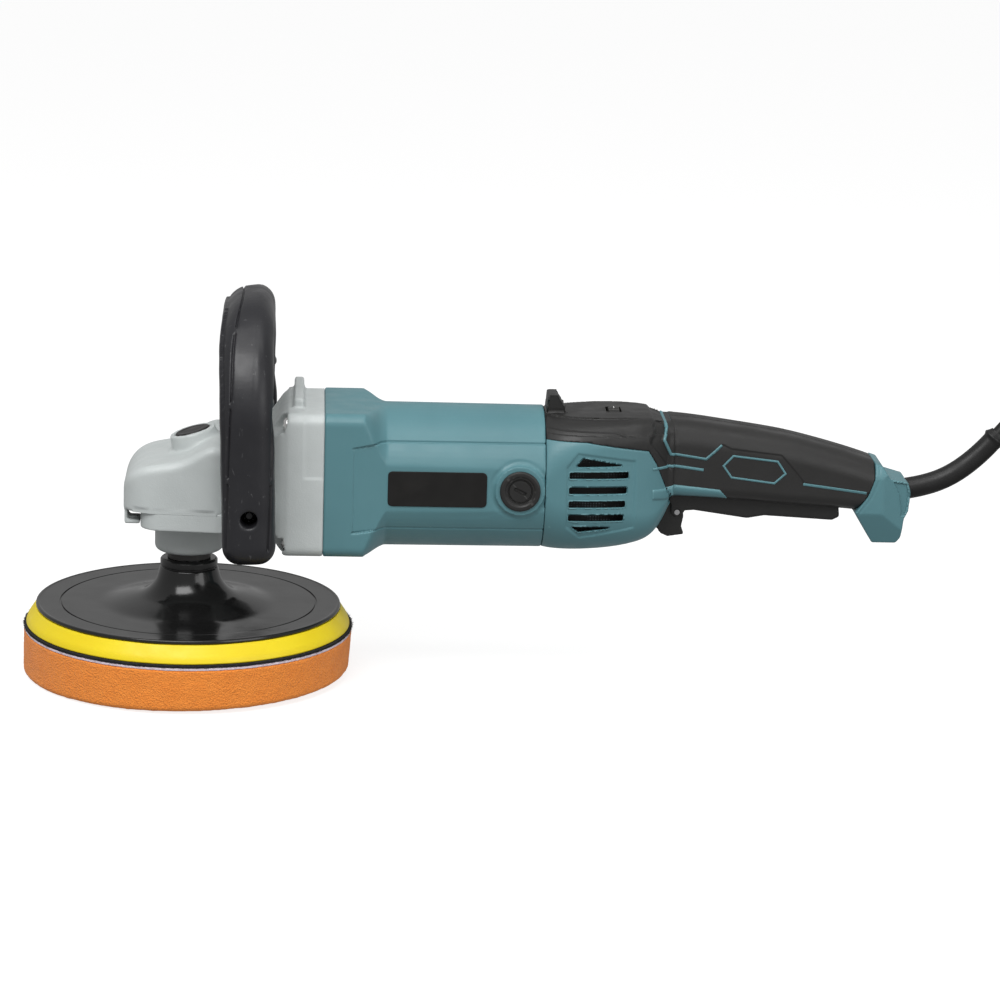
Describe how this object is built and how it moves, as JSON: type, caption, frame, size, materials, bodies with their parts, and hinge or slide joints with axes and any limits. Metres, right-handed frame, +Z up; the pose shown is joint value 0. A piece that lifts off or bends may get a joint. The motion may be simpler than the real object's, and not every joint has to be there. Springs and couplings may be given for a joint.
{
  "type": "rotary polisher",
  "caption": "Corded rotary polisher with a foam pad on a backing plate, loop handle, lockable spindle, speed dial and paddle trigger.",
  "frame": {"origin": "centre of the foam pad's working face, on the spindle's axis", "axes": "+Z up along the spindle, +X back along the motor towards the cord, +Y to the tool's far side"},
  "size_m": [0.7463, 0.2114, 0.2139],
  "materials": {
    "teal_housing": "fine-textured moulded nylon",
    "black_plastic": "fine-textured moulded nylon",
    "handle_rubber": "satin moulded rubber",
    "grip_rubber": "satin overmould",
    "painted_casting": "satin sprayed die casting",
    "plate_plastic": "polished moulded plastic",
    "pad_foam": "open-cell polyurethane foam",
    "loop_fabric": "brushed loop fabric",
    "hook_fabric": "hook tape",
    "cushion_foam": "smooth-skinned polyurethane",
    "steel": "turned and ground",
    "zinc_screw": "zinc-plated",
    "bolt_black": "black oxide",
    "aluminium": "die cast",
    "laminations": "stacked laminations, varnished",
    "copper": "enamelled copper",
    "carbon": "pressed carbon",
    "brass": "stamped brass",
    "label_black": "printed film",
    "board": "circuit board",
    "cord_rubber": "rubber cable sheath"
  },
  "bodies": {
    "tool": {"lower_spindle_bearing": "steel", "upper_spindle_bearing": "steel", "gear_case": "painted_casting", "gear_case_cover": "painted_casting", "cover_screws": "zinc_screw", "flange_screws": "zinc_screw", "bearing_carrier": "aluminium", "front_motor_bearing": "steel", "loop_handle": "handle_rubber", "handle_bolts": "bolt_black", "motor_housing": "teal_housing", "side_labels": "label_black", "stator_core": "laminations", "field_coils": "copper", "brush_holders": "brass", "carbon_brushes": "carbon", "brush_springs": "steel", "brush_caps": "black_plastic", "rear_motor_bearing": "steel", "rear_bearing_bracket": "black_plastic", "top_cover": "black_plastic", "rear_shell_left": "teal_housing", "rear_shell_right": "teal_housing", "grip_left": "grip_rubber", "grip_right": "grip_rubber", "end_cap": "teal_housing", "shell_screws": "zinc_screw", "trigger_pin": "steel", "trigger_spring": "steel", "switch_body": "black_plastic", "speed_board": "board", "dust_screens": "black_plastic", "cord_sleeve": "cord_rubber", "cord_tube": "cord_rubber", "cord_coil": "cord_rubber", "plug": "cord_rubber", "plug_pins": "brass"},
    "spindle_set": {"foam_pad": "pad_foam", "pad_loop_layer": "loop_fabric", "plate_hook_layer": "hook_fabric", "backing_cushion": "cushion_foam", "backing_plate": "plate_plastic", "plate_insert": "steel", "spindle": "steel", "spindle_dust_ring": "black_plastic", "crown_gear": "steel"},
    "armature": {"armature_shaft": "steel", "pinion": "steel", "armature_core": "laminations", "armature_windings": "copper", "commutator": "copper", "cooling_fan": "black_plastic"},
    "spindle_lock": {"lock_button": "black_plastic", "lock_pin": "steel", "lock_spring": "steel"},
    "dial": {"speed_dial": "black_plastic"},
    "paddle": {"trigger": "black_plastic", "lever_pin": "steel"},
    "lever": {"lock_off_lever": "black_plastic"},
    "plunger": {"switch_plunger": "black_plastic"}
  },
  "joints": [
    {"name": "spindle_spin", "type": "hinge", "parent": "tool", "child": "spindle_set", "pos_m": [0, 0, 0.08], "axis": [0, 0, 1], "continuous": true},
    {"name": "armature_spin", "type": "hinge", "parent": "tool", "child": "armature", "pos_m": [0.1, 0, 0.113], "axis": [1, 0, 0], "continuous": true},
    {"name": "spindle_lock_press", "type": "slide", "parent": "tool", "child": "spindle_lock", "axis": [0.2756, 0, -0.9613], "range_m": [0, 0.0045], "stiffness_N_per_m": 900, "springref_m": -0.004},
    {"name": "speed_dial_turn", "type": "hinge", "parent": "tool", "child": "dial", "pos_m": [0.2307, 0, 0.139], "axis": [1, 0, 0], "range_deg": [0, 270]},
    {"name": "trigger_squeeze", "type": "hinge", "parent": "tool", "child": "paddle", "pos_m": [0.349, 0, 0.1065], "axis": [0, 1, 0], "range_deg": [0, 4], "stiffness_Nm_per_rad": 6, "springref_deg": -3.44, "deforming": ["trigger_spring"]},
    {"name": "lock_off_push", "type": "hinge", "parent": "paddle", "child": "lever", "pos_m": [0.2668, 0, 0.0959], "axis": [0, 1, 0], "range_deg": [0, 14], "stiffness_Nm_per_rad": 0.12, "springref_deg": -11.46},
    {"name": "plunger_travel", "type": "slide", "parent": "tool", "child": "plunger", "axis": [0, 0, 1], "range_m": [0, 0.00425]}
  ],
  "couplings": [
    {"joint": "armature_spin", "follows": "spindle_spin", "ratio": -4.5556},
    {"joint": "plunger_travel", "follows": "trigger_squeeze", "m_per_rad": 0.0558}
  ]
}
